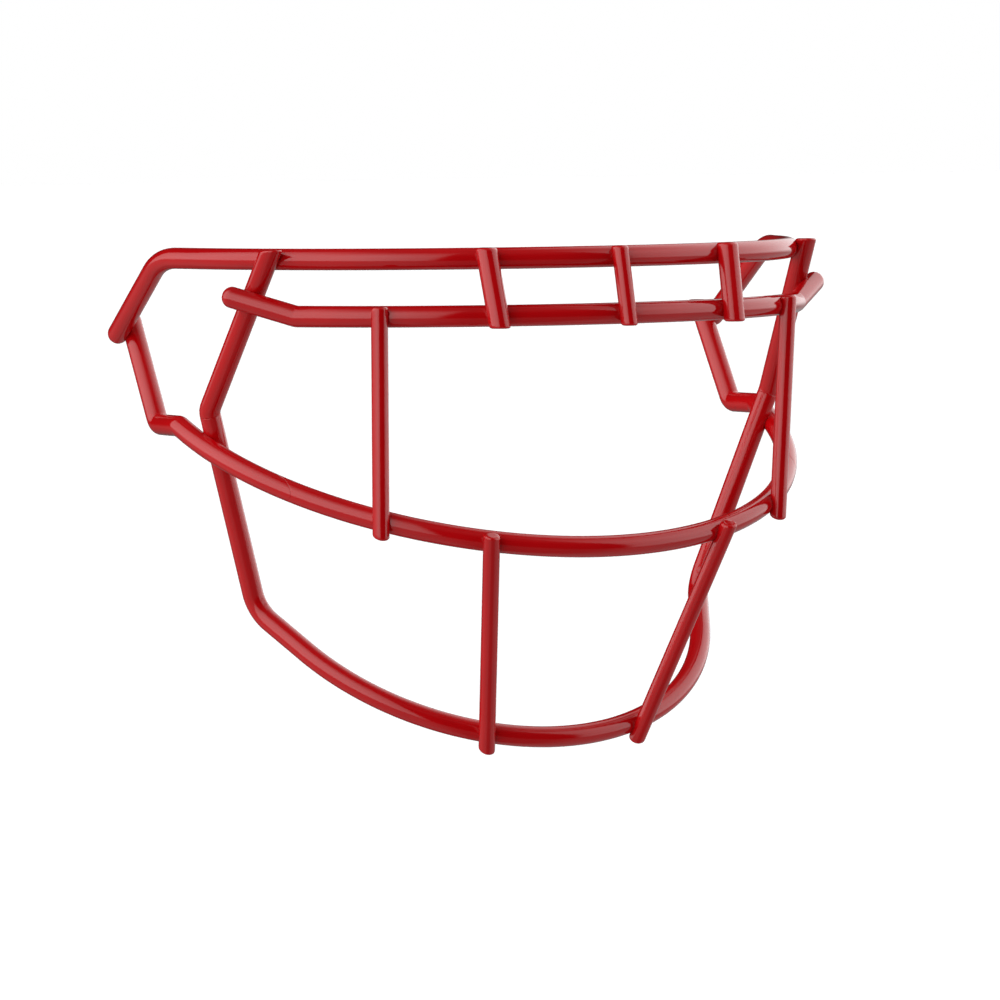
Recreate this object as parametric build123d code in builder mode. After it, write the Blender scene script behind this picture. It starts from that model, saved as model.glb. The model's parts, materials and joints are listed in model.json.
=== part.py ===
from build123d import *

import os
from dataclasses import dataclass
from math import atan2, cos, degrees, radians, sin, tan

# Wire face guard of a batting helmet: bent steel wires, spot welded where they cross and coated.
#
# Frame: +X is the wearer's left, -Y is the front, +Z is up, in millimetres. The origin is midway
# between the two ear joints, where the ends of the brow bar are welded to the ends of the jaw bar.
#
# Every cross bar is one arc in its own plane, level or tilted, with its middle at the front, and
# straight or bent ends behind. The side posts stand outside the brow bar, and inside the jaw bar
# and the ends of the eye bar. The short posts stand in front of the bars that they tie together.
# A post's end is cut parallel to the plane of the bar that it is welded to.

os.makedirs("parts", exist_ok=True)

# Wire
BAR_DIA = 6.35  # bars, side posts and outer brow posts, over the coat
POST_DIA = 5.0  # the lighter wire of the other posts, over the coat
WELD_SINK = 1.6  # how far two crossing wires are pressed into each other
TIGHT_BEND = 4.5  # radius of the wire's axis in a tight bend
EDGE_ROUND = 0.9  # rounding of the cut end of a post
DOME_ROUND = min(3.0, 0.47 * BAR_DIA)  # rounding of the domed end of a bar, within its wire
WELD_DIA = 2.4  # spot weld between two crossing wires
WELD_DEPTH = 2.2
BUTT_DEPTH = 1.0  # weld between two wires that meet end to end

# Brow bar: level, round the forehead, its ends bent down to the ears
BROW_FRONT = -123.0
BROW_HEIGHT = 23.0
BROW_END_HEADING = 73.3  # direction of its straight sides, from straight across
BROW_CORNER_BACK = 91.0  # from the front of the bar
BROW_BEND = 20.0
BROW_OVERHANG = 1.0  # of the bar's axis past the ear joint, before its dome

# Eye bar: level, below the brow bar, its ends flared up and back outside the side posts
EYE_FRONT = -127.0
EYE_HEIGHT = 6.4
EYE_END_HEADING = 50.0
EYE_TURN = 42.0  # heading of its flared ends, seen from above
EYE_RISE = 16.0  # slope of its flared ends
EYE_CROSSING = 12.3  # height where the flared ends pass the side posts
EYE_OVERHANG = 4.7

# Side posts and the chin bar below them
SIDE_TOP_OUT = 91.1
SIDE_TOP_BACK = 42.3  # from the front of the brow bar
SIDE_TOP_ABOVE = 2.9  # cut end, above the axis of the brow bar
POST_BEND = Vector(96.9, -47.8, -22.4)
CHIN_FRONT = -89.8
CHIN_HEIGHT = -122.1
CHIN_TILT = 35.2
CHIN_CORNER_OUT = 76.9  # from the middle plane to the corner below the side post
CHIN_CORNER_BACK = 65.5  # from the front of the bar, along its tilted plane
CHIN_END_HEADING = 67.0
CHIN_CORNER_RADIUS = 10.0

# Jaw bar: tilted, its ends bent up to the ears
JAW_FRONT = -121.9
JAW_HEIGHT = -62.3
JAW_TILT = 21.5
JAW_SEAM = 86.4  # from the middle plane to the butt weld between the bar and its end
JAW_END_HEADING = 84.0
JAW_CORNER = -33.7
JAW_CORNER_RADIUS = 3.0
JAW_KNEE_BACK = -18.0
JAW_KNEE_HEIGHT = -27.8
JAW_END_ABOVE = 4.6  # level cut end, above the ear joint

# Posts between the bars: distance from the middle plane on the upper and the lower bar, and height
# of the cut ends above and below the planes of the two bars' axes
BROW_POST_UPPER = 38.6
BROW_POST_LOWER = 37.8
BROW_POST_ABOVE = 3.25
BROW_POST_BELOW = 3.5
CHEEK_POST_UPPER = 66.3
CHEEK_POST_LOWER = 64.8
CHEEK_POST_ABOVE = 3.0
CHEEK_POST_BELOW = 3.2
CHIN_POST_UPPER = 37.6
CHIN_POST_LOWER = 25.0
CHIN_POST_ABOVE = 4.1
CHIN_POST_BELOW = 3.5

SIDES = {"left": 1, "right": -1}
BAR_GAP = BAR_DIA - WELD_SINK  # between the axes of two crossing bars
POST_GAP = (BAR_DIA + POST_DIA) / 2 - WELD_SINK
SOLVER_STEPS = 40
SOLVER_START = 60.0  # heading where a bar is first tried against its post


def on_side(point, side):
    """The point, or its mirror image, on the given side of the middle plane."""
    return Vector(side * point.X, point.Y, point.Z)


def heading_vector(heading, rise=0.0):
    """Unit vector that turns from +X towards +Y by the heading, and up by the rise."""
    level = cos(radians(rise))
    return Vector(level * cos(radians(heading)), level * sin(radians(heading)), sin(radians(rise)))


def outward_normal(direction, other):
    """Unit normal of two directions, on the side that faces away from the wearer's left ear."""
    normal = direction.cross(other).normalized()
    return normal if normal.X > 0 else -normal


def forward_normal(direction, other):
    """Unit normal of two directions, on the side that faces the front."""
    normal = direction.cross(other).normalized()
    return normal if normal.Y < 0 else -normal


class CrossBar:
    """Arc of a bar across the face, in a plane that is tilted up towards the back."""

    def __init__(self, front, height, tilt):
        self.across = Vector(1, 0, 0)
        self.back = Vector(0, cos(radians(tilt)), sin(radians(tilt)))
        self.front = Vector(0, front, height)
        self.radius = abs(front)

    def local(self, out, back):
        """Point at a distance from the middle plane, and from the front along the bar's plane."""
        return self.front + self.across * out + self.back * back

    def direction(self, heading):
        """Unit vector in the bar's plane, turned back from straight across."""
        return self.across * cos(radians(heading)) + self.back * sin(radians(heading))

    def point(self, heading):
        """Point of the arc where the bar has the given heading."""
        turn = radians(heading)
        return self.local(self.radius * sin(turn), self.radius * (1 - cos(turn)))

    def heading_at(self, out):
        """Heading of the arc at a distance from the middle plane."""
        return degrees(atan2(out, (self.radius**2 - out**2) ** 0.5))

    def touch_post(self, start, direction, gap):
        """Bend the arc so that it passes a post with a gap between the axes, outside if negative.

        Returns the point of the arc there and the unit normal of the two wires.
        """
        normal_up = self.across.cross(self.back)
        along = (self.front - start).dot(normal_up) / direction.dot(normal_up)
        post_point = start + direction * along
        heading = SOLVER_START
        for _ in range(SOLVER_STEPS):
            sideways = self.direction(heading - 90)
            normal = outward_normal(self.direction(heading), direction)
            touch = post_point - sideways * (gap / sideways.dot(normal))
            back = (touch - self.front).dot(self.back)
            heading = 2 * degrees(atan2(back, touch.X))
        self.radius = touch.X / sin(radians(heading))
        return touch, normal

    def lead_to(self, out, back, heading):
        """Bend the arc so that a straight end with this heading reaches a corner."""
        before = out - back / tan(radians(heading))
        self.radius = before / tan(radians(heading / 2))

    def arc(self, heading):
        """Draw the arc from one side to the other, up to the given heading."""
        end = self.point(heading)
        return ThreePointArc(end, self.front, on_side(end, -1))

    def parallel(self, height):
        """Plane parallel to the bar's own, at a height above it."""
        return Plane(self.front, x_dir=self.across, z_dir=self.across.cross(self.back)).offset(height)


@dataclass
class Post:
    """Straight post: its axis, longer than the post, its two cuts and its two spot welds."""

    top: Vector
    bottom: Vector
    upper_cut: Plane
    lower_cut: Plane
    upper_weld: Plane
    lower_weld: Plane


def weld_plane(axis_point, normal):
    """Plane of the spot weld outside a bar, midway through the sunk wire."""
    return Plane(axis_point + normal * (BAR_DIA - WELD_SINK) / 2, z_dir=normal)


def tie_bars(upper, upper_out, lower, lower_out, gap, above, below):
    """Post in front of two bars, at given distances from the middle plane."""
    upper_heading = upper.heading_at(upper_out)
    lower_heading = lower.heading_at(lower_out)
    upper_point = upper.point(upper_heading)
    lower_point = lower.point(lower_heading)
    top = upper_point
    bottom = lower_point
    for _ in range(SOLVER_STEPS):
        direction = (bottom - top).normalized()
        upper_normal = forward_normal(upper.direction(upper_heading), direction)
        lower_normal = forward_normal(lower.direction(lower_heading), direction)
        top = upper_point + upper_normal * gap
        bottom = lower_point + lower_normal * gap
    return Post(
        top - direction * (above + BAR_DIA),
        bottom + direction * (below + BAR_DIA),
        upper.parallel(above),
        lower.parallel(-below),
        weld_plane(upper_point, upper_normal),
        weld_plane(lower_point, lower_normal),
    )


def mirrored_plane(plane, side):
    """The plane, or its mirror image, on the given side of the middle plane."""
    return Plane(on_side(plane.origin, side), z_dir=on_side(plane.z_dir, side))


def both_sides(plane):
    """The plane and its mirror image."""
    return [mirrored_plane(plane, side) for side in SIDES.values()]


def sweep_wire(path, diameter):
    """Sweep a round wire along a path, in the part that is being made, its seam at the front or top."""
    direction = path % 0
    start = Plane(path @ 0, x_dir=direction.cross(Vector(1, 0, 0)), z_dir=direction)
    with BuildSketch(start) as section:
        Circle(diameter / 2)
    sweep(section.sketch, path=path)


def welds(planes, depth, mode):
    """Add spot welds to the part that is being made, or cut their seats out of it."""
    for plane in planes:
        with BuildSketch(plane) as spot:
            Circle(WELD_DIA / 2)
        extrude(spot.sketch, amount=depth / 2, both=True, mode=mode)


# Layout: the wearer's left half, from which the right half is mirrored

chin = CrossBar(CHIN_FRONT, CHIN_HEIGHT, CHIN_TILT)
chin.lead_to(CHIN_CORNER_OUT, CHIN_CORNER_BACK, CHIN_END_HEADING)
chin_corner = chin.local(CHIN_CORNER_OUT, CHIN_CORNER_BACK)
post_top = Vector(SIDE_TOP_OUT, BROW_FRONT + SIDE_TOP_BACK, BROW_HEIGHT + SIDE_TOP_ABOVE)
upper_side = (post_top - POST_BEND).normalized()
lower_side = (POST_BEND - chin_corner).normalized()

brow = CrossBar(BROW_FRONT, BROW_HEIGHT, 0)
brow_touch, brow_normal = brow.touch_post(POST_BEND, upper_side, BAR_GAP)
brow_side_weld = weld_plane(brow_touch, brow_normal)
brow_side = brow.direction(BROW_END_HEADING)
brow_arc_end = brow.point(BROW_END_HEADING)
brow_corner_run = (BROW_FRONT + BROW_CORNER_BACK - brow_arc_end.Y) / brow_side.Y
brow_corner = brow_arc_end + brow_side * brow_corner_run

jaw = CrossBar(JAW_FRONT, JAW_HEIGHT, JAW_TILT)
jaw_touch, jaw_normal = jaw.touch_post(chin_corner, lower_side, -BAR_GAP)
jaw_side_weld = weld_plane(jaw_touch - jaw_normal * BAR_GAP, jaw_normal)
jaw_side = jaw.direction(JAW_END_HEADING)
jaw_arc_end = jaw.point(JAW_END_HEADING)
jaw_corner = jaw_arc_end + jaw_side * ((JAW_CORNER - jaw_arc_end.Y) / jaw_side.Y)
jaw_knee = Vector(jaw_corner.X, JAW_KNEE_BACK, JAW_KNEE_HEIGHT)
jaw_top = Vector(jaw_corner.X, 0, 0)
jaw_seam_heading = jaw.heading_at(JAW_SEAM)
jaw_seam = Plane(jaw.point(jaw_seam_heading), z_dir=(1, 0, 0))
jaw_end_rise = (jaw_top - jaw_knee).normalized()

brow_ear = jaw_top + Vector(BAR_GAP, 0, 0)
brow_end = brow_ear + (brow_ear - brow_corner).normalized() * (BROW_OVERHANG + BAR_DIA / 2)
ear_weld = weld_plane(jaw_top, Vector(1, 0, 0))

eye = CrossBar(EYE_FRONT, EYE_HEIGHT, 0)
eye_flare = heading_vector(EYE_TURN, EYE_RISE)
eye_normal = outward_normal(eye_flare, upper_side)
post_at_eye = POST_BEND + upper_side * ((EYE_CROSSING - POST_BEND.Z) / upper_side.Z)
eye_side_weld = weld_plane(post_at_eye, eye_normal)
eye_cross = post_at_eye + eye_normal * BAR_GAP
eye_corner = eye_cross - eye_flare * ((eye_cross.Z - EYE_HEIGHT) / eye_flare.Z)
eye_end = eye_cross + eye_flare * (EYE_OVERHANG + BAR_DIA / 2)
eye.lead_to(eye_corner.X, eye_corner.Y - EYE_FRONT, EYE_END_HEADING)

brow_post = tie_bars(
    brow, BROW_POST_UPPER, eye, BROW_POST_LOWER, BAR_GAP, BROW_POST_ABOVE, BROW_POST_BELOW
)
centre_post = tie_bars(brow, 0, eye, 0, POST_GAP, BROW_POST_ABOVE, BROW_POST_BELOW)
cheek_post = tie_bars(
    eye, CHEEK_POST_UPPER, jaw, CHEEK_POST_LOWER, POST_GAP, CHEEK_POST_ABOVE, CHEEK_POST_BELOW
)
chin_post = tie_bars(
    jaw, CHIN_POST_UPPER, chin, CHIN_POST_LOWER, POST_GAP, CHIN_POST_ABOVE, CHIN_POST_BELOW
)

# Where the wires are welded

brow_spots = [
    *both_sides(brow_post.upper_weld),
    centre_post.upper_weld,
    *both_sides(brow_side_weld),
    *both_sides(ear_weld),
]
eye_spots = [
    *both_sides(brow_post.lower_weld),
    centre_post.lower_weld,
    *both_sides(cheek_post.upper_weld),
    *both_sides(eye_side_weld),
]
jaw_spots = [
    *both_sides(cheek_post.lower_weld),
    *both_sides(chin_post.upper_weld),
    *both_sides(jaw_side_weld),
]
chin_spots = both_sides(chin_post.lower_weld)

# Brow bar

with BuildPart() as brow_bar:
    with BuildLine() as brow_path:
        FilletPolyline(brow_end, brow_corner, brow_arc_end, radius=BROW_BEND)
        brow.arc(BROW_END_HEADING)
        FilletPolyline(
            *[on_side(point, -1) for point in (brow_arc_end, brow_corner, brow_end)],
            radius=BROW_BEND,
        )
    sweep_wire(brow_path.line, BAR_DIA)
    fillet(brow_bar.faces().filter_by(GeomType.PLANE).edges(), DOME_ROUND)
    welds(brow_spots, WELD_DEPTH, Mode.SUBTRACT)
brow_bar.part.label = "brow_bar"

# Chin bar and side posts: one bent loop, butt welded at the foot of each side bend

with BuildLine() as side_path:
    FilletPolyline(
        post_top + upper_side * BAR_DIA,
        POST_BEND,
        chin_corner,
        chin.point(CHIN_END_HEADING),
        radius=[TIGHT_BEND, CHIN_CORNER_RADIUS],
    )
side_bend = side_path.edges().filter_by(GeomType.CIRCLE).sort_by(Axis.Z)[-1]
post_seam = Plane(side_bend.vertices().sort_by(Axis.Z)[0].center(), z_dir=lower_side)
post_line = side_path.wire().trim(0, post_seam.origin)
loop_side = side_path.wire().trim(post_seam.origin, 1)

seams = [*both_sides(post_seam), *both_sides(jaw_seam)]

with BuildPart() as chin_bar:
    with BuildLine() as chin_path:
        add(loop_side)
        chin.arc(CHIN_END_HEADING)
        add(loop_side.mirror(Plane.YZ))
    sweep_wire(chin_path.line, BAR_DIA)
    welds([*chin_spots, *both_sides(jaw_side_weld)], WELD_DEPTH, Mode.SUBTRACT)
    welds(both_sides(post_seam), BUTT_DEPTH, Mode.SUBTRACT)
chin_bar.part.label = "chin_bar"

# Side posts, from the seam to above the brow bar

side_posts = {}
for name, side in SIDES.items():
    with BuildPart() as side_post:
        sweep_wire(post_line if side > 0 else post_line.mirror(Plane.YZ), BAR_DIA)
        split(bisect_by=brow.parallel(SIDE_TOP_ABOVE), keep=Keep.BOTTOM)
        fillet(side_post.faces().filter_by(GeomType.PLANE).sort_by(Axis.Z)[-1].edges(), EDGE_ROUND)
        add(brow_bar.part, mode=Mode.SUBTRACT)
        spots = [mirrored_plane(brow_side_weld, side), mirrored_plane(eye_side_weld, side)]
        welds(spots, WELD_DEPTH, Mode.SUBTRACT)
        welds([mirrored_plane(post_seam, side)], BUTT_DEPTH, Mode.SUBTRACT)
    side_post.part.label = f"side_post_{name}"
    side_posts[name] = side_post.part

# Jaw bar, and its two bent ends that run back outside the chin bar and up to the ears

with BuildPart() as jaw_bar:
    with BuildLine() as jaw_path:
        jaw.arc(jaw.heading_at(JAW_SEAM + BAR_DIA))
    sweep_wire(jaw_path.line, BAR_DIA)
    split(bisect_by=jaw_seam, keep=Keep.BOTTOM)
    split(bisect_by=Plane.YZ.offset(-JAW_SEAM), keep=Keep.TOP)
    welds(jaw_spots, WELD_DEPTH, Mode.SUBTRACT)
    welds(both_sides(jaw_seam), BUTT_DEPTH, Mode.SUBTRACT)
jaw_bar.part.label = "jaw_bar"

with BuildLine() as jaw_end_path:
    before_seam = jaw.heading_at(JAW_SEAM - BAR_DIA)
    ThreePointArc(
        jaw.point(before_seam), jaw.point((before_seam + JAW_END_HEADING) / 2), jaw_arc_end
    )
    FilletPolyline(
        jaw_arc_end,
        jaw_corner,
        jaw_knee,
        jaw_top + jaw_end_rise * (JAW_END_ABOVE + BAR_DIA),
        radius=[JAW_CORNER_RADIUS, TIGHT_BEND],
    )

jaw_ends = {}
for name, side in SIDES.items():
    end_line = jaw_end_path.wire()
    with BuildPart() as jaw_end:
        sweep_wire(end_line if side > 0 else end_line.mirror(Plane.YZ), BAR_DIA)
        split(bisect_by=Plane.XY.offset(JAW_END_ABOVE), keep=Keep.BOTTOM)
        split(
            bisect_by=Plane.YZ.offset(side * JAW_SEAM), keep=Keep.TOP if side > 0 else Keep.BOTTOM
        )
        fillet(jaw_end.faces().filter_by(GeomType.PLANE).sort_by(Axis.Z)[-1].edges(), EDGE_ROUND)
        add(brow_bar.part, mode=Mode.SUBTRACT)
        add(chin_bar.part, mode=Mode.SUBTRACT)
        spots = [mirrored_plane(ear_weld, side), mirrored_plane(jaw_side_weld, side)]
        welds(spots, WELD_DEPTH, Mode.SUBTRACT)
        welds([mirrored_plane(jaw_seam, side)], BUTT_DEPTH, Mode.SUBTRACT)
    jaw_end.part.label = f"jaw_end_{name}"
    jaw_ends[name] = jaw_end.part

# Eye bar

with BuildPart() as eye_bar:
    with BuildLine() as eye_path:
        eye_arc_end = eye.point(EYE_END_HEADING)
        FilletPolyline(eye_end, eye_corner, eye_arc_end, radius=TIGHT_BEND)
        eye.arc(EYE_END_HEADING)
        FilletPolyline(
            *[on_side(point, -1) for point in (eye_arc_end, eye_corner, eye_end)],
            radius=TIGHT_BEND,
        )
    sweep_wire(eye_path.line, BAR_DIA)
    fillet(eye_bar.faces().filter_by(GeomType.PLANE).edges(), DOME_ROUND)
    for side_post in side_posts.values():
        add(side_post, mode=Mode.SUBTRACT)
    welds(eye_spots, WELD_DEPTH, Mode.SUBTRACT)
eye_bar.part.label = "eye_bar"


def front_post(post, side, diameter, bars):
    """Straight post in front of two bars, notched where it is sunk into them."""
    with BuildPart() as wire:
        with BuildLine() as axis:
            Line(on_side(post.top, side), on_side(post.bottom, side))
        sweep_wire(axis.line, diameter)
        split(bisect_by=post.upper_cut, keep=Keep.BOTTOM)
        split(bisect_by=post.lower_cut, keep=Keep.TOP)
        fillet(wire.faces().filter_by(GeomType.PLANE).edges(), EDGE_ROUND)
        for bar in bars:
            add(bar, mode=Mode.SUBTRACT)
        spots = [mirrored_plane(post.upper_weld, side), mirrored_plane(post.lower_weld, side)]
        welds(spots, WELD_DEPTH, Mode.SUBTRACT)
    return wire.part


front_posts = {"brow_post_centre": front_post(centre_post, 1, POST_DIA, [brow_bar.part, eye_bar.part])}
for name, side in SIDES.items():
    front_posts[f"brow_post_{name}"] = front_post(
        brow_post, side, BAR_DIA, [brow_bar.part, eye_bar.part]
    )
    front_posts[f"cheek_post_{name}"] = front_post(
        cheek_post, side, POST_DIA, [eye_bar.part, jaw_bar.part]
    )
    front_posts[f"chin_post_{name}"] = front_post(
        chin_post, side, POST_DIA, [jaw_bar.part, chin_bar.part]
    )
for name, wire in front_posts.items():
    wire.label = name

# Welds, grouped by the bar that they are on

weld_groups = {
    "brow_bar_welds": (brow_spots, WELD_DEPTH),
    "eye_bar_welds": (eye_spots, WELD_DEPTH),
    "jaw_bar_welds": (jaw_spots, WELD_DEPTH),
    "chin_bar_welds": (chin_spots, WELD_DEPTH),
    "butt_welds": (seams, BUTT_DEPTH),
}
weld_parts = []
for name, (planes, depth) in weld_groups.items():
    with BuildPart() as spots:
        welds(planes, depth, Mode.ADD)
    spots.part.label = name
    weld_parts.append(spots.part)

pieces = [
    brow_bar.part,
    eye_bar.part,
    jaw_bar.part,
    chin_bar.part,
    *side_posts.values(),
    *jaw_ends.values(),
    *front_posts.values(),
    *weld_parts,
]
for piece in pieces:
    export_step(piece, f"parts/{piece.label}.step")
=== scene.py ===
"""Looks of a batting helmet's wire face guard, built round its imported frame.

The guard is bent steel wire, spot welded where the wires cross and dipped in a glossy red coat.
Every wire is swept here as one closed piece along the same route as its frame node, and stands
for that node. The welds stay as frame nodes, inside the wires. Lengths are in metres: +X is the
wearer's left, -Y the front and +Z up, with the origin midway between the two ear joints.
"""

from __future__ import annotations

import json
import logging
from dataclasses import dataclass, field
from enum import Enum
from math import asin, atan2, ceil, cos, degrees, pi, radians, sin, tan
from typing import Any, Iterable, Mapping, Sequence, Union

import bpy
from mathutils import Matrix, Vector

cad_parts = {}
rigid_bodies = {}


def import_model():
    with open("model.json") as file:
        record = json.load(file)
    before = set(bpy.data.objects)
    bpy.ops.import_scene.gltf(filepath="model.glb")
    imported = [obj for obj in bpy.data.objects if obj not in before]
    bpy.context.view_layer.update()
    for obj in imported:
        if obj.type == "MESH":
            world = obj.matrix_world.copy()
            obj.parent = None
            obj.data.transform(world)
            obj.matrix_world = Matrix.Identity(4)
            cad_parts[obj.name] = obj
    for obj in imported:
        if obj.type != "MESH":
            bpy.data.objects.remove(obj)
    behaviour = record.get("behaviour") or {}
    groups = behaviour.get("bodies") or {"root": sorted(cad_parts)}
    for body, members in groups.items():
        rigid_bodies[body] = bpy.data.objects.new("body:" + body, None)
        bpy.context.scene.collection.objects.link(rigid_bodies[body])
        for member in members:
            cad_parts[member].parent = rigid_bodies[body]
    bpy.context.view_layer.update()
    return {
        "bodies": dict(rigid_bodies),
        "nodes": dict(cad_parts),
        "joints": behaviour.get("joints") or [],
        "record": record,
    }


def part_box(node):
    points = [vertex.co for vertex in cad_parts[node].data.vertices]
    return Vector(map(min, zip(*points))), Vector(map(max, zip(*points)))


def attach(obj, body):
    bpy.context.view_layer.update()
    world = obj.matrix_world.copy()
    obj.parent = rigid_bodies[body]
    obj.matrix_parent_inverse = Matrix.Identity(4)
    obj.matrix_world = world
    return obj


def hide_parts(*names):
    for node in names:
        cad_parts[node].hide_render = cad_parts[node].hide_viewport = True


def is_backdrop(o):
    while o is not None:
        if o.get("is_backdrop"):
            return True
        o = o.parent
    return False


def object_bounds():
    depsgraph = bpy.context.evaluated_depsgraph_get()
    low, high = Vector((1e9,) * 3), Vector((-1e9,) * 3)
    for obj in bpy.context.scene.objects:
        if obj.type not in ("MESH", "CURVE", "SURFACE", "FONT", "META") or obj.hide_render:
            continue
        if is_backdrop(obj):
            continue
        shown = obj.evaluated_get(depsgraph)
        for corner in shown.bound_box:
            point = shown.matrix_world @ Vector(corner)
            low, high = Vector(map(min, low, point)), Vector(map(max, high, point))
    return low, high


log = logging.getLogger("face_guard")

MM = 0.001
BODY = "root"
SOLVER_STEPS = 40
SOLVER_START = 60.0


class Side(Enum):
    """A side of the guard, from the wearer."""

    LEFT = 1
    RIGHT = -1

    @property
    def label(self) -> str:
        """Word for the side in a piece's name."""
        return self.name.lower()


class Slot(Enum):
    """The record's material slots."""

    COAT = "coated_wire"
    WELD = "weld_steel"


class EndForm(Enum):
    """How a wire ends: the rounding of its edge, in millimetres."""

    DOME = 3.0
    CUT = 0.9
    SEAM = 0.22

    @property
    def rounding(self) -> float:
        """Rounding of the edge, in metres."""
        return self.value * MM


@dataclass(frozen=True)
class WireEnd:
    """End of a wire, in a plane through a point.

    Args:
        form: How the end is made.
        point: Point of the plane, or None for the end of the route.
        normal: Normal of the plane, or None for a cut square to the wire.
    """

    form: EndForm
    point: Vector | None = None
    normal: Vector | None = None

    def on(self, side: Side) -> WireEnd:
        """The end, or its mirror image, on the given side."""
        if self.point is None or self.normal is None:
            return self
        return WireEnd(self.form, on_side(self.point, side), on_side(self.normal, side))


# Layout: points and directions that several wires share


def on_side(point: Vector, side: Side) -> Vector:
    """The point, or its mirror image, on the given side of the middle plane."""
    return Vector((side.value * point.x, point.y, point.z))


def mm(x: float, y: float, z: float) -> Vector:
    """A point given in millimetres, in metres."""
    return Vector((x, y, z)) * MM


def heading_vector(heading: float, rise: float) -> Vector:
    """Unit vector that turns from +X towards +Y by the heading, and up by the rise.

    Args:
        heading: Turn in the level plane, in degrees.
        rise: Slope above level, in degrees.

    Returns:
        The unit vector.
    """
    level = cos(radians(rise))
    return Vector((level * cos(radians(heading)), level * sin(radians(heading)), sin(radians(rise))))


def facing(normal: Vector, way: Vector) -> Vector:
    """The unit normal, turned to the side that faces the given way."""
    unit = normal.normalized()
    return unit if unit.dot(way) > 0 else -unit


OUTWARD = Vector((1, 0, 0))
FORWARD = Vector((0, -1, 0))
UPWARD = Vector((0, 0, 1))


@dataclass
class BarArc:
    """Arc of a bar across the face, in a plane that is tilted up towards the back.

    Args:
        front: Depth of the arc's middle, in metres.
        height: Height of the arc's middle, in metres.
        tilt: Tilt of the arc's plane, in degrees.
    """

    front: float
    height: float
    tilt: float = 0.0
    radius: float = 0.1

    @property
    def back(self) -> Vector:
        """Unit vector in the arc's plane, towards the back."""
        return Vector((0, cos(radians(self.tilt)), sin(radians(self.tilt))))

    def local(self, out: float, back: float) -> Vector:
        """Point at a distance from the middle plane, and from the front along the arc's plane."""
        return Vector((out, self.front, self.height)) + self.back * back

    def direction(self, heading: float) -> Vector:
        """Unit vector in the arc's plane, turned back from straight across."""
        return OUTWARD * cos(radians(heading)) + self.back * sin(radians(heading))

    def point(self, heading: float) -> Vector:
        """Point of the arc where the bar has the given heading."""
        turn = radians(heading)
        return self.local(self.radius * sin(turn), self.radius * (1 - cos(turn)))

    def heading_at(self, out: float) -> float:
        """Heading of the arc at a distance from the middle plane, in degrees."""
        return degrees(asin(out / self.radius))

    def touch_post(self, start: Vector, direction: Vector, gap: float) -> Vector:
        """Bend the arc so that it passes a post with a gap between the two axes.

        Args:
            start: Point of the post's axis.
            direction: Unit vector along the post.
            gap: Distance between the axes, negative where the bar passes outside the post.

        Returns:
            The point of the arc where it passes the post.
        """
        level_normal = OUTWARD.cross(self.back)
        middle = self.local(0, 0)
        along = (middle - start).dot(level_normal) / direction.dot(level_normal)
        post_point = start + direction * along
        heading = SOLVER_START
        touch = post_point
        for _ in range(SOLVER_STEPS):
            sideways = self.direction(heading - 90)
            normal = facing(self.direction(heading).cross(direction), OUTWARD)
            touch = post_point - sideways * (gap / sideways.dot(normal))
            heading = 2 * degrees(atan2((touch - middle).dot(self.back), touch.x))
        self.radius = touch.x / sin(radians(heading))
        return touch

    def lead_to(self, out: float, back: float, heading: float) -> None:
        """Bend the arc so that a straight end with this heading reaches a corner.

        Args:
            out: Distance of the corner from the middle plane, in metres.
            back: Distance of the corner from the front, along the arc's plane, in metres.
            heading: Heading of the straight end, in degrees.
        """
        before = out - back / tan(radians(heading))
        self.radius = before / tan(radians(heading / 2))

    def cut(self, height: float) -> WireEnd:
        """Cut end of a post, parallel to the bar's plane at a height above it."""
        up = OUTWARD.cross(self.back)
        return WireEnd(EndForm.CUT, self.local(0, 0) + up * height, up)

    def sweep(self, start: float, end: float) -> list[Vector]:
        """Points of the arc from one heading to another.

        Args:
            start: First heading, in degrees.
            end: Last heading, in degrees.

        Returns:
            The points, evenly spaced.
        """
        steps = max(2, ceil(abs(end - start) / Route.ARC_STEP))
        return [self.point(start + (end - start) * i / steps) for i in range(steps + 1)]


class Route:
    """Centreline of a wire: points close enough together for a smooth sweep."""

    ARC_STEP = 0.75
    BEND_STEP = 4.0
    STRAIGHT_STEP = 3.0 * MM

    def __init__(self, points: Iterable[Vector]) -> None:
        """Keep the points, without doubled ones, and divide the long straight runs.

        Args:
            points: The points in order, from one end of the wire to the other.
        """
        self.points: list[Vector] = []
        for point in points:
            self._reach(point)

    def _reach(self, point: Vector) -> None:
        """Add a point, with more before it where the run is long."""
        if not self.points:
            self.points.append(point.copy())
            return
        last = self.points[-1]
        run = point - last
        if run.length < 0.01 * MM:
            return
        steps = max(1, ceil(run.length / self.STRAIGHT_STEP))
        self.points += [last + run * (i / steps) for i in range(1, steps + 1)]

    @classmethod
    def bend(cls, points: Sequence[Vector], radii: Sequence[float]) -> list[Vector]:
        """Straight runs joined by tangent arcs.

        Args:
            points: The two ends and the corners between them.
            radii: Radius of the bend at each corner, in metres.

        Returns:
            The points of the runs' ends and along the bends.
        """
        out = [points[0]]
        for before, corner, after, radius in zip(points, points[1:], points[2:], radii):
            inward = (before - corner).normalized()
            outward = (after - corner).normalized()
            turn = pi - inward.angle(outward)
            reach = radius * tan(turn / 2)
            centre = corner + (inward + outward).normalized() * (radius / cos(turn / 2))
            first = corner + inward * reach - centre
            last = corner + outward * reach - centre
            steps = max(3, ceil(degrees(turn) / cls.BEND_STEP))
            for i in range(steps + 1):
                share = turn * i / steps
                out.append(centre + (first * sin(turn - share) + last * sin(share)) / sin(turn))
        out.append(points[-1])
        return out

    def mirrored(self, side: Side) -> Route:
        """The route, or its mirror image, on the given side."""
        return Route(on_side(point, side) for point in self.points)


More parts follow.
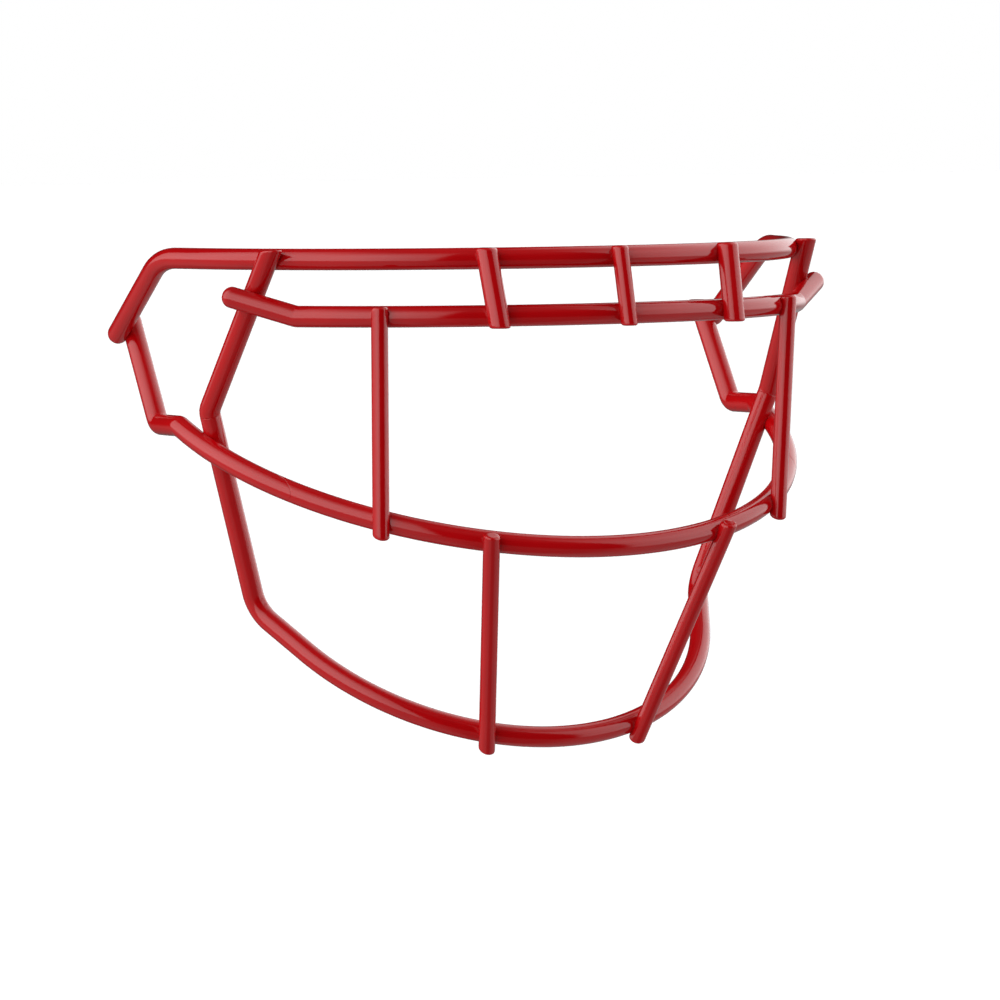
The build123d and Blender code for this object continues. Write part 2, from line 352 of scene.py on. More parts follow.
@dataclass(frozen=True)
class Ring:
    """One ring of a wire's surface, or the single point at its tip.

    Args:
        points: Its points, in order around the wire.
        thin: How thin the coat is there, from 0 to 1.
    """

    points: list[Vector]
    thin: float


@dataclass(frozen=True)
class Wire:
    """One wire: its route, its diameter and how its two ends are made.

    Args:
        name: Name of the frame node that the wire stands for.
        route: Its centreline, past both ends where they are cut aslant.
        diameter: Diameter over the coat, in metres.
        ends: Its first and its last end.
    """

    name: str
    route: Route
    diameter: float
    ends: tuple[WireEnd, WireEnd]

    AROUND = 48
    EDGE_RINGS = 8
    FACE_RINGS = 3
    FEED_RINGS = 4
    NEAR = 1e-4 * MM

    def _frames(self, points: Sequence[Vector]) -> list[tuple[Vector, Vector, Vector]]:
        """Direction along the wire and two directions across it, at each point.

        Args:
            points: Points of the centreline.

        Returns:
            For each point the unit vectors along, across and across the other way, without twist.
        """
        frames = []
        along = (points[1] - points[0]).normalized()
        across = along.orthogonal().normalized()
        for i, point in enumerate(points):
            before = points[max(i - 1, 0)]
            after = points[min(i + 1, len(points) - 1)]
            turned = ((point - before).normalized() + (after - point).normalized()).normalized()
            across = (along.rotation_difference(turned) @ across).normalized()
            along = turned
            across = (across - along * across.dot(along)).normalized()
            frames.append((along, across, along.cross(across)))
        return frames

    def _rings(self) -> list[Ring]:
        """All rings, from the one next to the first tip to the one next to the last."""
        points = self.route.points
        frames = self._frames(points)
        tube = [
            Ring([point + self._spoke(frame, i) for i in range(self.AROUND)], 0.0)
            for point, frame in zip(points, frames)
        ]
        first = self._end(points, tube, self.ends[0])
        last = self._end(points[::-1], tube[::-1], self.ends[1])
        used_first, used_last = first[0], len(points) - last[0]
        return [*first[1], *tube[used_first:used_last], *reversed(last[1])]

    def _spoke(self, frame: tuple[Vector, Vector, Vector], i: int) -> Vector:
        """Vector from the centreline to the surface, by its number around the wire."""
        turn = 2 * pi * i / self.AROUND
        return (frame[1] * cos(turn) + frame[2] * sin(turn)) * (self.diameter / 2)

    def _end(
        self, points: Sequence[Vector], tube: Sequence[Ring], end: WireEnd
    ) -> tuple[int, list[Ring]]:
        """Cut the start of a tube with an end's plane and round the edge.

        Args:
            points: The centreline, from this end.
            tube: One ring for each of its points.
            end: The end.

        Returns:
            The number of tube rings that the end uses up, and the rings that stand for them.
        """
        square = (points[0] - points[1]).normalized()
        anchor = points[0] if end.point is None else end.point
        normal = facing(square if end.normal is None else end.normal, square)
        rounding = min(end.form.rounding, 0.94 * self.diameter / 2)
        rim, inward, used = [], [], 1
        for i in range(self.AROUND):
            side = [ring.points[i] for ring in tube]
            k = next(k for k in range(1, len(side)) if (side[k] - anchor).dot(normal) < -self.NEAR)
            run = (side[k] - side[k - 1]).normalized()
            rim.append(side[k] - run * ((side[k] - anchor).dot(normal) / run.dot(normal)))
            inward.append(run)
            clear = (n for n in range(k, len(side)) if (side[n] - rim[i]).length > rounding + 1 * MM)
            used = max(used, next(clear))
        middle = sum(rim, Vector()) / len(rim)
        towards = [(middle - point).normalized() for point in rim]
        edge = [point + way * rounding for point, way in zip(rim, towards)]
        rings = [Ring([middle], 0.0)]
        for n in range(1, self.FACE_RINGS):
            share = n / self.FACE_RINGS
            rings.append(Ring([middle.lerp(point, share) for point in edge], 0.0))
        for n in range(self.EDGE_RINGS + 1):
            turn = pi / 2 * n / self.EDGE_RINGS
            face, side = rounding * (1 - sin(turn)), rounding * (1 - cos(turn))
            ring = [p + t * face + w * side for p, t, w in zip(rim, towards, inward)]
            rings.append(Ring(ring, sin(2 * turn) if end.form is EndForm.CUT else 0.0))
        foot = rings[-1].points
        for n in range(1, self.FEED_RINGS):
            share = n / self.FEED_RINGS
            rings.append(Ring([self._along(tube, i, foot[i], used, share) for i in range(self.AROUND)], 0.0))
        return used, rings

    @staticmethod
    def _along(tube: Sequence[Ring], i: int, foot: Vector, used: int, share: float) -> Vector:
        """Point on one side line of a tube, between the foot of its rounded edge and a ring.

        Args:
            tube: The tube's rings, from this end.
            i: Number of the side line around the wire.
            foot: Foot of the rounded edge on that line.
            used: Number of the ring.
            share: Share of the way to the ring.

        Returns:
            The point.
        """
        line = [foot, *(ring.points[i] for ring in tube[1 : used + 1])]
        way = (line[-1] - foot).length
        line = [foot, *(p for p in line[1:] if (p - line[-1]).length < way - 1e-6)]
        lengths = [(b - a).length for a, b in zip(line, line[1:])]
        left = share * sum(lengths)
        for start, stop, length in zip(line, line[1:], lengths):
            if left <= length:
                return start.lerp(stop, left / length)
            left -= length
        return line[-1]

    def build(self) -> bpy.types.Object:
        """Sweep the wire as one closed mesh.

        Returns:
            The new object, linked to the scene and riding on the guard's body.
        """
        rings = self._rings()
        vertices = [point for ring in rings for point in ring.points]
        thin = [ring.thin for ring in rings for _ in ring.points]
        mesh = bpy.data.meshes.new(self.name)
        mesh.from_pydata([tuple(v) for v in vertices], [], self._faces(len(rings) - 2))
        mesh.shade_smooth()
        mesh.set_sharp_from_angle(angle=radians(40))
        attribute = mesh.attributes.new("thin_coat", "FLOAT", "POINT")
        attribute.data.foreach_set("value", thin)
        mesh.validate()
        wire = bpy.data.objects.new(f"{self.name}_wire", mesh)
        bpy.context.scene.collection.objects.link(wire)
        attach(wire, BODY)
        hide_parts(self.name)
        log.info("%s: %d faces", wire.name, len(mesh.polygons))
        return wire

    def _faces(self, rings: int) -> list[tuple[int, ...]]:
        """Faces between the rings, and the fans that close the two ends.

        Args:
            rings: Number of rings between the two tips.

        Returns:
            The vertex numbers of each face, all facing outward.
        """
        count = self.AROUND
        tip = 1 + rings * count
        faces: list[tuple[int, ...]] = []
        for i in range(count):
            j = (i + 1) % count
            faces.append((0, 1 + j, 1 + i))
            for ring in range(rings - 1):
                low = 1 + ring * count
                faces.append((low + i, low + j, low + count + j, low + count + i))
            faces.append((tip - count + i, tip - count + j, tip))
        return faces


# Node trees


class Signal:
    """One output of a node, on which arithmetic adds Math nodes."""

    def __init__(self, bench: Bench, socket: bpy.types.NodeSocket) -> None:
        """Wrap an output socket.

        Args:
            bench: Bench of the socket's node tree.
            socket: The output.
        """
        self.bench = bench
        self.socket = socket

    def _math(self, operation: str, *values: Value) -> Signal:
        """Result of a Math node on these values."""
        node = self.bench.add("ShaderNodeMath", {"operation": operation}, dict(enumerate(values)))
        return node.signal()

    def __add__(self, other: Value) -> Signal:
        """Sum."""
        return self._math("ADD", self, other)

    __radd__ = __add__

    def __sub__(self, other: Value) -> Signal:
        """Difference."""
        return self._math("SUBTRACT", self, other)

    def __rsub__(self, other: Value) -> Signal:
        """Difference, from a number."""
        return self._math("SUBTRACT", other, self)

    def __mul__(self, other: Value) -> Signal:
        """Product."""
        return self._math("MULTIPLY", self, other)

    __rmul__ = __mul__

    def __truediv__(self, other: Value) -> Signal:
        """Quotient."""
        return self._math("DIVIDE", self, other)

    def __pow__(self, other: Value) -> Signal:
        """Power."""
        return self._math("POWER", self, other)

    def __abs__(self) -> Signal:
        """Size without sign."""
        return self._math("ABSOLUTE", self)

    def arcsine(self) -> Signal:
        """Angle of this sine, in radians."""
        return self._math("ARCSINE", self)

    def least(self, other: Value) -> Signal:
        """The smaller of the two."""
        return self._math("MINIMUM", self, other)

    def ramp(self, start: float, end: float) -> Signal:
        """Smooth step from 0 at the start to 1 at the end, either way round.

        Args:
            start: Value where the step begins.
            end: Value where the step is complete.

        Returns:
            The step.
        """
        node = self.bench.add(
            "ShaderNodeMapRange",
            {"interpolation_type": "SMOOTHSTEP", "clamp": True},
            {"Value": self, "From Min": start, "From Max": end},
        )
        return node.signal()


Value = Union[Signal, float, tuple]


@dataclass(frozen=True)
class Made:
    """A node on a bench, whose outputs are read as signals."""

    bench: Bench
    node: bpy.types.Node

    def signal(self, output: Union[str, int] = 0) -> Signal:
        """One of the node's outputs, by name or number."""
        return Signal(self.bench, self.node.outputs[output])


class Bench:
    """Builds one node tree."""

    def __init__(self, tree: bpy.types.NodeTree) -> None:
        """Clear the tree.

        Args:
            tree: Node tree of a material or the world.
        """
        self.tree = tree
        tree.nodes.clear()

    def add(
        self,
        kind: str,
        settings: Mapping[str, Any] | None = None,
        sockets: Mapping[Union[str, int], Value] | None = None,
    ) -> Made:
        """Add a node.

        Args:
            kind: Blender's type name of the node.
            settings: Properties of the node, set first.
            sockets: Values or links of its inputs, by name or number.

        Returns:
            The node.
        """
        node = self.tree.nodes.new(kind)
        for name, value in (settings or {}).items():
            setattr(node, name, value)
        for key, value in (sockets or {}).items():
            if isinstance(value, Signal):
                self.tree.links.new(value.socket, node.inputs[key])
            else:
                node.inputs[key].default_value = value
        return Made(self, node)

    def blend(self, share: Value, first: Value, second: Value) -> Signal:
        """Colour between two colours.

        Args:
            share: 0 for the first colour and 1 for the second.
            first: The first colour.
            second: The second colour.

        Returns:
            The mixed colour.
        """
        mixed = self.add(
            "ShaderNodeMix", {"data_type": "RGBA"}, {"Factor": share, 6: first, 7: second}
        )
        return mixed.signal(2)


# Finishes


@dataclass(frozen=True)
class DippedCoat:
    """Glossy red coat over bent wire, with the faint unevenness of a dipped and baked finish."""

    name: str = "dipped_red_coat"
    red: tuple[float, float, float, float] = (0.51, 0.0022, 0.0042, 1.0)
    deep_red: tuple[float, float, float, float] = (0.46, 0.0016, 0.0034, 1.0)
    thin_red: tuple[float, float, float, float] = (0.56, 0.006, 0.008, 1.0)
    gloss_roughness: float = 0.07
    dull_roughness: float = 0.13
    cloud_scale: float = 45.0
    fleck_scale: float = 1500.0
    peel_scale: float = 850.0
    peel_depth: float = 0.004 * MM
    pimple_scale: float = 210.0
    pimple_depth: float = 0.02 * MM

    def build(self) -> bpy.types.Material:
        """Make the material.

        Returns:
            The coat.
        """
        material = bpy.data.materials.new(self.name)
        material.use_nodes = True
        bench = Bench(material.node_tree)
        place = bench.add("ShaderNodeTexCoord").signal("Object")
        clouds = self._noise(bench, place, self.cloud_scale, 3.0)
        flecks = self._noise(bench, place, self.fleck_scale, 1.0)
        thin = bench.add("ShaderNodeAttribute", {"attribute_name": "thin_coat"}).signal("Fac")
        body = bench.blend(clouds.ramp(0.3, 0.7) * 0.8 + flecks * 0.2, self.deep_red, self.red)
        colour = bench.blend(thin * 0.6, body, self.thin_red)
        span = self.dull_roughness - self.gloss_roughness
        roughness = self.gloss_roughness + span * clouds.ramp(0.45, 0.75) + thin * 0.06
        shader = bench.add(
            "ShaderNodeBsdfPrincipled",
            {},
            {
                "Base Color": colour,
                "Roughness": roughness,
                "Normal": self._relief(bench, place),
                "IOR": 1.5,
            },
        )
        bench.add("ShaderNodeOutputMaterial", {}, {"Surface": shader.signal()})
        return material

    @staticmethod
    def _noise(bench: Bench, place: Signal, scale: float, detail: float) -> Signal:
        """Noise over the surface, about 0.5.

        Args:
            bench: Bench of the material.
            place: Position on the object.
            scale: Waves per metre.
            detail: Number of finer layers.

        Returns:
            The noise.
        """
        sockets = {"Vector": place, "Scale": scale, "Detail": detail}
        return bench.add("ShaderNodeTexNoise", {}, sockets).signal("Fac")

    def _relief(self, bench: Bench, place: Signal) -> Signal:
        """Normal with the coat's orange peel and its few baked-in specks.

        Args:
            bench: Bench of the material.
            place: Position on the object.

        Returns:
            The bent normal.
        """
        peel = self._noise(bench, place, self.peel_scale, 1.0)
        cells = bench.add("ShaderNodeTexVoronoi", {}, {"Vector": place, "Scale": self.pimple_scale})
        pick = self._noise(bench, place, self.pimple_scale / 3, 0.0).ramp(0.62, 0.7)
        pimples = cells.signal("Distance").ramp(0.11, 0.0) * pick
        height = peel * self.peel_depth + pimples * self.pimple_depth
        bump = bench.add("ShaderNodeBump", {}, {"Height": height, "Distance": 1.0, "Strength": 1.0})
        return bump.signal("Normal")


@dataclass(frozen=True)
class WeldSteel:
    """Bare steel of a spot weld, grey with heat tint."""

    name: str = "weld_steel"
    bright: tuple[float, float, float, float] = (0.46, 0.45, 0.44, 1.0)
    tinted: tuple[float, float, float, float] = (0.20, 0.16, 0.15, 1.0)
    grain_scale: float = 1800.0

    def build(self) -> bpy.types.Material:
        """Make the material.

        Returns:
            The weld's steel.
        """
        material = bpy.data.materials.new(self.name)
        material.use_nodes = True
        bench = Bench(material.node_tree)
        place = bench.add("ShaderNodeTexCoord").signal("Object")
        sockets = {"Vector": place, "Scale": self.grain_scale, "Detail": 3.0}
        grain = bench.add("ShaderNodeTexNoise", {}, sockets).signal("Fac")
        shader = bench.add(
            "ShaderNodeBsdfPrincipled",
            {},
            {
                "Base Color": bench.blend(grain.ramp(0.35, 0.65), self.tinted, self.bright),
                "Roughness": 0.35 + grain * 0.25,
                "Metallic": 1.0,
            },
        )
        bench.add("ShaderNodeOutputMaterial", {}, {"Surface": shader.signal()})
        return material


# Sub-assemblies


@dataclass
class GuardSizes:
    """Sizes that all the wires share, in metres."""

    bar: float = 6.35 * MM
    post: float = 5.0 * MM
    sink: float = 1.6 * MM
    tight_bend: float = 4.5 * MM

    @property
    def bar_gap(self) -> float:
        """Distance between the axes of two crossing bars."""
        return self.bar - self.sink

    @property
    def post_gap(self) -> float:
        """Distance between the axes of a bar and a light post."""
        return (self.bar + self.post) / 2 - self.sink


@dataclass
class ChinLoop:
    """Chin bar and side posts: one bent loop, butt welded at the foot of each side bend."""

    sizes: GuardSizes
    brow: BarArc
    front: float = -89.8 * MM
    height: float = -122.1 * MM
    tilt: float = 35.2
    corner_out: float = 76.9 * MM
    corner_back: float = 65.5 * MM
    end_heading: float = 67.0
    corner_radius: float = 10.0 * MM
    top_out: float = 91.1 * MM
    top_back: float = 42.3 * MM
    top_above: float = 2.9 * MM
    post_bend: Vector = field(default_factory=lambda: mm(96.9, -47.8, -22.4))

    def __post_init__(self) -> None:
        """Bend the chin arc to its corners."""
        self.arc = BarArc(self.front, self.height, self.tilt)
        self.arc.lead_to(self.corner_out, self.corner_back, self.end_heading)
        self.corner = self.arc.local(self.corner_out, self.corner_back)
        top = (self.top_out, self.brow.front + self.top_back, self.brow.height + self.top_above)
        self.post_top = Vector(top)

    @property
    def upper_side(self) -> Vector:
        """Unit vector up the side post, above its bend."""
        return (self.post_top - self.post_bend).normalized()

    @property
    def lower_side(self) -> Vector:
        """Unit vector up the loop's side, below the bend."""
        return (self.post_bend - self.corner).normalized()

    def wires(self) -> list[Wire]:
        """The chin bar and the two side posts."""
        upper, lower = self._halves()
        arc = self.arc.sweep(self.end_heading, -self.end_heading)
        back = [on_side(point, Side.RIGHT) for point in reversed(lower)]
        seam = WireEnd(EndForm.SEAM)
        wires = [Wire("chin_bar", Route([*lower, *arc, *back]), self.sizes.bar, (seam, seam))]
        ends = (self.brow.cut(self.top_above), seam)
        for side in Side:
            route = Route(upper).mirrored(side)
            wires.append(Wire(f"side_post_{side.label}", route, self.sizes.bar, ends))
        return wires

    def _halves(self) -> tuple[list[Vector], list[Vector]]:
        """Side post from its top to the seam, and the loop from the seam to the chin arc."""
        bends = (self.sizes.tight_bend, self.corner_radius)
        start = self.post_top + self.upper_side * self.sizes.bar
        ends = (start, self.post_bend, self.corner, self.arc.point(self.end_heading))
        points = Route.bend(ends, bends)
        turn = self.upper_side.angle(self.lower_side)
        foot = self.post_bend - self.lower_side * (self.sizes.tight_bend * tan(turn / 2))
        cut = min(range(len(points)), key=lambda i: (points[i] - foot).length)
        return points[: cut + 1], points[cut:]


@dataclass
class BrowBar:
    """Level bar round the forehead, its ends bent down to the ear joints."""

    sizes: GuardSizes
    arc: BarArc
    loop: ChinLoop
    ear: Vector
    end_heading: float = 73.3
    corner_back: float = 91.0 * MM
    bend_radius: float = 20.0 * MM
    overhang: float = 1.0 * MM

    def __post_init__(self) -> None:
        """Bend the arc to rest against the side posts."""
        self.arc.touch_post(self.loop.post_bend, self.loop.upper_side, self.sizes.bar_gap)

    def wires(self) -> list[Wire]:
        """The brow bar."""
        arc_end = self.arc.point(self.end_heading)
        side = self.arc.direction(self.end_heading)
        corner = arc_end + side * ((self.arc.front + self.corner_back - arc_end.y) / side.y)
        leg = (self.ear - corner).normalized()
        end = self.ear + leg * (self.overhang + self.sizes.bar / 2)
        left = Route.bend((end, corner, arc_end), (self.bend_radius,))
        right = [on_side(point, Side.RIGHT) for point in reversed(left)]
        arc = self.arc.sweep(self.end_heading, -self.end_heading)
        route = Route([*left, *arc, *right])
        return [Wire("brow_bar", route, self.sizes.bar, (WireEnd(EndForm.DOME),) * 2)]


@dataclass
class EyeBar:
    """Level bar below the brow bar, its ends flared up and back outside the side posts."""

    sizes: GuardSizes
    loop: ChinLoop
    front: float = -127.0 * MM
    height: float = 6.4 * MM
    end_heading: float = 50.0
    turn: float = 42.0
    rise: float = 16.0
    crossing: float = 12.3 * MM
    overhang: float = 4.7 * MM

    def __post_init__(self) -> None:
        """Bend the arc to the corners where its flared ends begin."""
        upper_side = self.loop.upper_side
        self.flare = heading_vector(self.turn, self.rise)
        normal = facing(self.flare.cross(upper_side), OUTWARD)
        climb = (self.crossing - self.loop.post_bend.z) / upper_side.z
        self.cross = self.loop.post_bend + upper_side * climb + normal * self.sizes.bar_gap
        self.corner = self.cross - self.flare * ((self.cross.z - self.height) / self.flare.z)
        self.arc = BarArc(self.front, self.height)
        self.arc.lead_to(self.corner.x, self.corner.y - self.front, self.end_heading)

    def wires(self) -> list[Wire]:
        """The eye bar."""
        end = self.cross + self.flare * (self.overhang + self.sizes.bar / 2)
        arc_end = self.arc.point(self.end_heading)
        left = Route.bend((end, self.corner, arc_end), (self.sizes.tight_bend,))
        right = [on_side(point, Side.RIGHT) for point in reversed(left)]
        arc = self.arc.sweep(self.end_heading, -self.end_heading)
        route = Route([*left, *arc, *right])
        return [Wire("eye_bar", route, self.sizes.bar, (WireEnd(EndForm.DOME),) * 2)]


@dataclass
class JawBar:
    """Tilted bar round the jaw, and its two bent ends that run up to the ear joints."""

    sizes: GuardSizes
    loop: ChinLoop
    front: float = -121.9 * MM
    height: float = -62.3 * MM
    tilt: float = 21.5
    seam_out: float = 86.4 * MM
    end_heading: float = 84.0
    corner_depth: float = -33.7 * MM
    corner_radius: float = 3.0 * MM
    knee_depth: float = -18.0 * MM
    knee_height: float = -27.8 * MM
    end_above: float = 4.6 * MM

    def __post_init__(self) -> None:
        """Bend the arc to pass outside the chin loop, and place its corner."""
        self.arc = BarArc(self.front, self.height, self.tilt)
        self.arc.touch_post(self.loop.corner, self.loop.lower_side, -self.sizes.bar_gap)
        arc_end = self.arc.point(self.end_heading)
        side = self.arc.direction(self.end_heading)
        self.corner = arc_end + side * ((self.corner_depth - arc_end.y) / side.y)
        self.top = Vector((self.corner.x, 0, 0))

    @property
    def ear(self) -> Vector:
        """Point of the brow bar's axis at the left ear joint."""
        return self.top + OUTWARD * self.sizes.bar_gap

    def wires(self) -> list[Wire]:
        """The jaw bar and its two ends."""
        bar = self.sizes.bar
        past = self.arc.heading_at(self.seam_out + bar)
        before = self.arc.heading_at(self.seam_out - bar)
        seam_point = self.arc.point(self.arc.heading_at(self.seam_out))
        seams = {side: WireEnd(EndForm.SEAM, seam_point, OUTWARD).on(side) for side in Side}
        middle = Route(self.arc.sweep(past, -past))
        wires = [Wire("jaw_bar", middle, bar, (seams[Side.LEFT], seams[Side.RIGHT]))]
        knee = Vector((self.corner.x, self.knee_depth, self.knee_height))
        tip = self.top + (self.top - knee).normalized() * (self.end_above + bar)
        bends = (self.corner_radius, self.sizes.tight_bend)
        bent = Route.bend((self.arc.point(self.end_heading), self.corner, knee, tip), bends)
        route = Route([*self.arc.sweep(before, self.end_heading), *bent])
        level = WireEnd(EndForm.CUT, UPWARD * self.end_above, UPWARD)
        for side in Side:
            ends = (seams[side], level)
            wires.append(Wire(f"jaw_end_{side.label}", route.mirrored(side), bar, ends))
        return wires


@dataclass
class FrontPosts:
    """Short straight posts in front of the bars that they tie together."""

    sizes: GuardSizes
    brow: BarArc
    eye: BarArc
    jaw: BarArc
    chin: BarArc
    brow_out: tuple[float, float] = (38.6 * MM, 37.8 * MM)
    brow_ends: tuple[float, float] = (3.25 * MM, 3.5 * MM)
    cheek_out: tuple[float, float] = (66.3 * MM, 64.8 * MM)
    cheek_ends: tuple[float, float] = (3.0 * MM, 3.2 * MM)
    chin_out: tuple[float, float] = (37.6 * MM, 25.0 * MM)
    chin_ends: tuple[float, float] = (4.1 * MM, 3.5 * MM)

    def _tie(
        self, bars: tuple[BarArc, BarArc], out: tuple[float, float], gap: float
    ) -> Route:
        """Route of a post in front of two bars.

        Args:
            bars: The upper and the lower bar.
            out: Distance of the post from the middle plane on each, in metres.
            gap: Distance between the axes of post and bar, in metres.

        Returns:
            The post's route, from above its top to below its foot.
        """
        headings = [bar.heading_at(reach) for bar, reach in zip(bars, out)]
        on_bars = [bar.point(heading) for bar, heading in zip(bars, headings)]
        top, bottom = on_bars
        for _ in range(SOLVER_STEPS):
            along = (bottom - top).normalized()
            normals = [
                facing(bar.direction(heading).cross(along), FORWARD)
                for bar, heading in zip(bars, headings)
            ]
            top, bottom = (point + normal * gap for point, normal in zip(on_bars, normals))
        past = along * (2 * self.sizes.bar)
        return Route([top - past, bottom + past])

    def wires(self) -> list[Wire]:
        """The seven posts."""
        sizes = self.sizes
        upper, middle, lower = (self.brow, self.eye), (self.eye, self.jaw), (self.jaw, self.chin)
        kinds = {
            "brow_post": (upper, self.brow_out, self.brow_ends, sizes.bar, sizes.bar_gap),
            "cheek_post": (middle, self.cheek_out, self.cheek_ends, sizes.post, sizes.post_gap),
            "chin_post": (lower, self.chin_out, self.chin_ends, sizes.post, sizes.post_gap),
        }
        centre = self._tie(upper, (0.0, 0.0), sizes.post_gap)
        cuts = (self.brow.cut(self.brow_ends[0]), self.eye.cut(-self.brow_ends[1]))
        wires = [Wire("brow_post_centre", centre, sizes.post, cuts)]
        for name, (bars, out, past, diameter, gap) in kinds.items():
            route = self._tie(bars, out, gap)
            cuts = (bars[0].cut(past[0]), bars[1].cut(-past[1]))
            for side in Side:
                wires.append(Wire(f"{name}_{side.label}", route.mirrored(side), diameter, cuts))
        return wires


@dataclass
class FaceGuard:
    """The whole guard: its sub-assemblies and its two finishes."""

    nodes: Mapping[str, bpy.types.Object]
    sizes: GuardSizes = field(default_factory=GuardSizes)
    brow_front: float = -123.0 * MM
    brow_height: float = 23.0 * MM

    def build(self) -> None:
        """Sweep every wire, and dress the wires and the welds."""
        brow_arc = BarArc(self.brow_front, self.brow_height)
        loop = ChinLoop(self.sizes, brow_arc)
        jaw = JawBar(self.sizes, loop)
        brow = BrowBar(self.sizes, brow_arc, loop, jaw.ear)
        eye = EyeBar(self.sizes, loop)
        posts = FrontPosts(self.sizes, brow.arc, eye.arc, jaw.arc, loop.arc)
        coat = DippedCoat().build()
        for assembly in (brow, eye, jaw, loop, posts):
            for wire in assembly.wires():
                wire.build().data.materials.append(coat)
                self._compare(wire)
        weld = WeldSteel().build()
        for name, node in self.nodes.items():
            if name.endswith("_welds"):
                node.data.materials.clear()
                node.data.materials.append(weld)
                log.info("%s: weld steel", name)

    @staticmethod
    def _compare(wire: Wire) -> None:
        """Report how far a wire's mesh leaves the box of its frame node."""
        mesh = bpy.data.objects[f"{wire.name}_wire"].data
        low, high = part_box(wire.name)
        corners = [v.co for v in mesh.vertices]
        gaps = [abs(min(c[i] for c in corners) - low[i]) for i in range(3)]
        gaps += [abs(max(c[i] for c in corners) - high[i]) for i in range(3)]
        log.info("%s: box differs by %.3f mm", wire.name, max(gaps) / MM)


# Studio


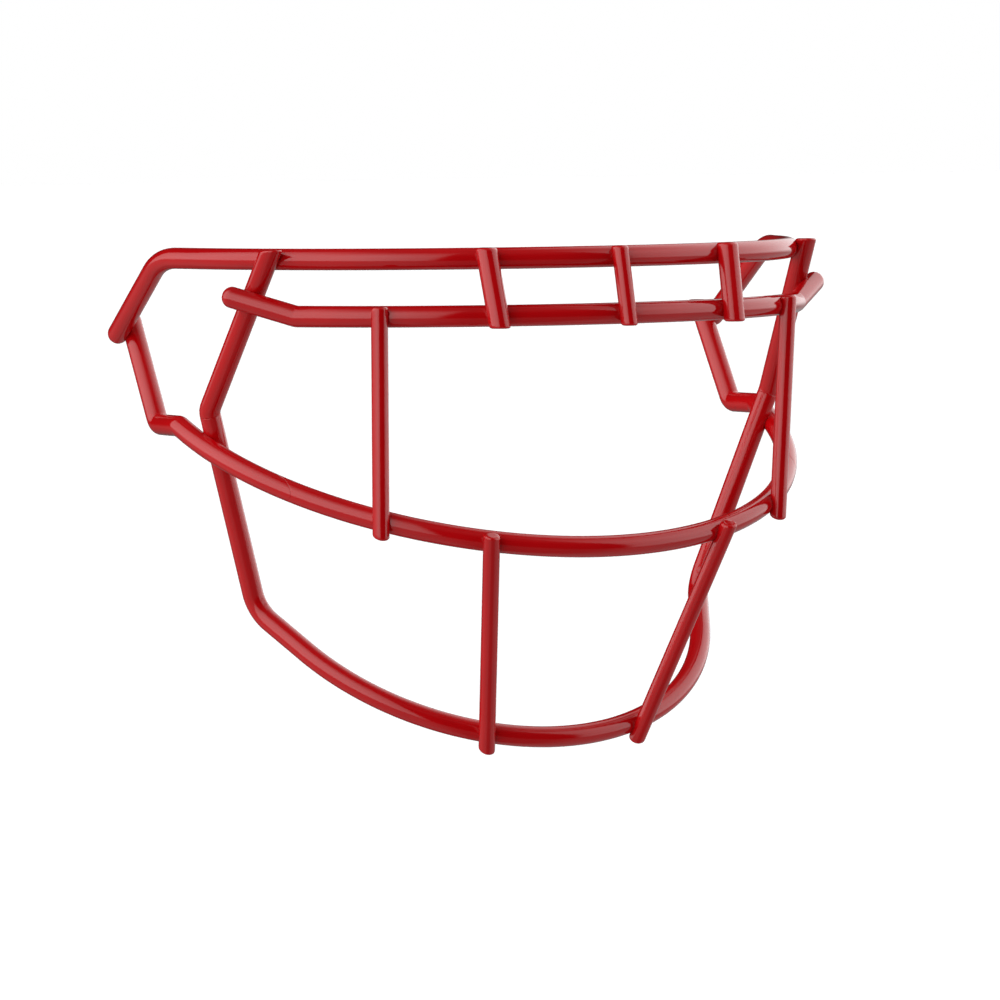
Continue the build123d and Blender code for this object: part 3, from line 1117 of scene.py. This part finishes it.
@dataclass(frozen=True)
class Studio:
    """White surroundings, with a tall soft panel on each side of the guard and a dark gap in front.

    The panels are part of the sky, so they light the guard evenly and show in its gloss.
    """

    tilt: float = 10.0
    edge: tuple[float, float] = (0.50, 0.58)
    panel_edge_light: float = 1.15
    panel_light: tuple[float, float] = (2.3, 2.0)
    panel_foot: tuple[float, float] = (-16.0, -4.0)
    panel_head: tuple[float, float] = (33.0, 80.0)
    floor_light: float = 0.15
    floor_side_light: float = 0.3
    ceiling_light: float = 0.12
    gap_light: float = 0.02
    fill_light: float = 0.26
    floor_drop: float = 150.0 * MM
    floor_size: float = 60.0
    floor_colour: tuple[float, float, float, float] = (0.93, 0.93, 0.93, 1.0)
    floor_lift: float = 0.25

    def build(self) -> None:
        """Make the sky and the floor."""
        self._sky()
        self._floor()

    def _sky(self) -> None:
        """Light the guard from the side panels, and show the camera a white backdrop."""
        world = bpy.data.worlds.new("studio")
        bpy.context.scene.world = world
        world.use_nodes = True
        bench = Bench(world.node_tree)
        way = bench.add("ShaderNodeTexCoord").signal("Generated")
        level = bench.add(
            "ShaderNodeVectorRotate",
            {"rotation_type": "X_AXIS"},
            {"Vector": way, "Angle": -radians(self.tilt)},
        ).signal()
        parts = bench.add("ShaderNodeSeparateXYZ", {}, {"Vector": level})
        x, y, z = (parts.signal(name) for name in "XYZ")
        out = abs(x) / (x * x + y * y + 1e-6) ** 0.5
        rise = z.least(1.0).arcsine() * (180 / pi)
        left, right = self.panel_light
        full = left + (right - left) * x.ramp(-0.2, 0.2)
        across = self.panel_edge_light + (full - self.panel_edge_light) * out.ramp(0.5, 0.95)
        panel = out.ramp(*self.edge) * across * rise.ramp(*self.panel_foot)
        panel = panel * rise.ramp(self.panel_head[1], self.panel_head[0])
        ground = (self.floor_light + self.floor_side_light * out.ramp(0.3, 0.75)) * rise.ramp(-4.0, -20.0)
        ceiling = self.ceiling_light * rise.ramp(30.0, 70.0)
        path = bench.add("ShaderNodeLightPath")
        fill = self.fill_light * rise.ramp(5.0, -30.0) * path.signal("Is Diffuse Ray")
        light = panel + ground + ceiling + fill + self.gap_light
        rig = bench.add("ShaderNodeBackground", {}, {"Color": (1, 1, 1, 1), "Strength": light})
        backdrop = bench.add("ShaderNodeBackground", {}, {"Color": (1, 1, 1, 1), "Strength": 1.0})
        seen = path.signal("Is Camera Ray")
        mixed = bench.add(
            "ShaderNodeMixShader", {}, {0: seen, 1: rig.signal(), 2: backdrop.signal()}
        )
        bench.add("ShaderNodeOutputWorld", {}, {"Surface": mixed.signal()})

    def _floor(self) -> None:
        """Lay a plain pale floor below the guard."""
        low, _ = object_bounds()
        half = self.floor_size / 2
        height = low.z - self.floor_drop
        corners = [(x, y, height) for x, y in ((-half, -half), (half, -half), (half, half), (-half, half))]
        mesh = bpy.data.meshes.new("floor")
        mesh.from_pydata(corners, [], [(0, 1, 2, 3)])
        floor = bpy.data.objects.new("floor", mesh)
        bpy.context.scene.collection.objects.link(floor)
        material = bpy.data.materials.new("pale_floor")
        material.use_nodes = True
        bench = Bench(material.node_tree)
        sockets = {
            "Base Color": self.floor_colour,
            "Roughness": 0.9,
            "Specular IOR Level": 0.0,
            "Emission Color": (1, 1, 1, 1),
            "Emission Strength": self.floor_lift,
        }
        top = bench.add("ShaderNodeBsdfPrincipled", {}, sockets)
        underside = bench.add("ShaderNodeBsdfTransparent")
        below = bench.add("ShaderNodeNewGeometry").signal("Backfacing")
        mixed = bench.add("ShaderNodeMixShader", {}, {0: below, 1: top.signal(), 2: underside.signal()})
        bench.add("ShaderNodeOutputMaterial", {}, {"Surface": mixed.signal()})
        mesh.materials.append(material)
        floor.visible_glossy = False
        floor.visible_diffuse = False
        floor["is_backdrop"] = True
        log.info("floor at %.3f m", height)


@dataclass(frozen=True)
class Viewpoint:
    """Camera in front of the guard and a little above it, on the wearer's right."""

    aim: Vector = field(default_factory=lambda: mm(16.0, -18.2, -55.9))
    azimuth: float = -27.5
    elevation: float = 4.3
    roll: float = -0.58
    distance: float = 1.5409
    lens: float = 176.21
    sensor: float = 36.0

    def build(self) -> None:
        """Place the camera and make it the scene's own."""
        turn, rise = radians(self.azimuth), radians(self.elevation)
        back = Vector((sin(turn) * cos(rise), -cos(turn) * cos(rise), sin(rise)))
        data = bpy.data.cameras.new("camera")
        data.lens = self.lens
        data.sensor_width = self.sensor
        camera = bpy.data.objects.new("camera", data)
        bpy.context.scene.collection.objects.link(camera)
        facing_aim = (-back).to_track_quat("-Z", "Y").to_matrix().to_4x4()
        camera.matrix_world = (
            Matrix.Translation(self.aim + back * self.distance)
            @ facing_aim
            @ Matrix.Rotation(radians(self.roll), 4, "Z")
        )
        bpy.context.scene.camera = camera
        log.info("camera at %s", tuple(round(c, 3) for c in camera.location))


def main() -> None:
    """Build the guard round the frame, light it and place the camera."""
    logging.basicConfig(level=logging.INFO, format="%(name)s %(message)s")
    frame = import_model()
    FaceGuard(frame["nodes"]).build()
    Studio().build()
    Viewpoint().build()
    bpy.context.scene.view_settings.view_transform = "Standard"


if __name__ == "__main__":
    main()
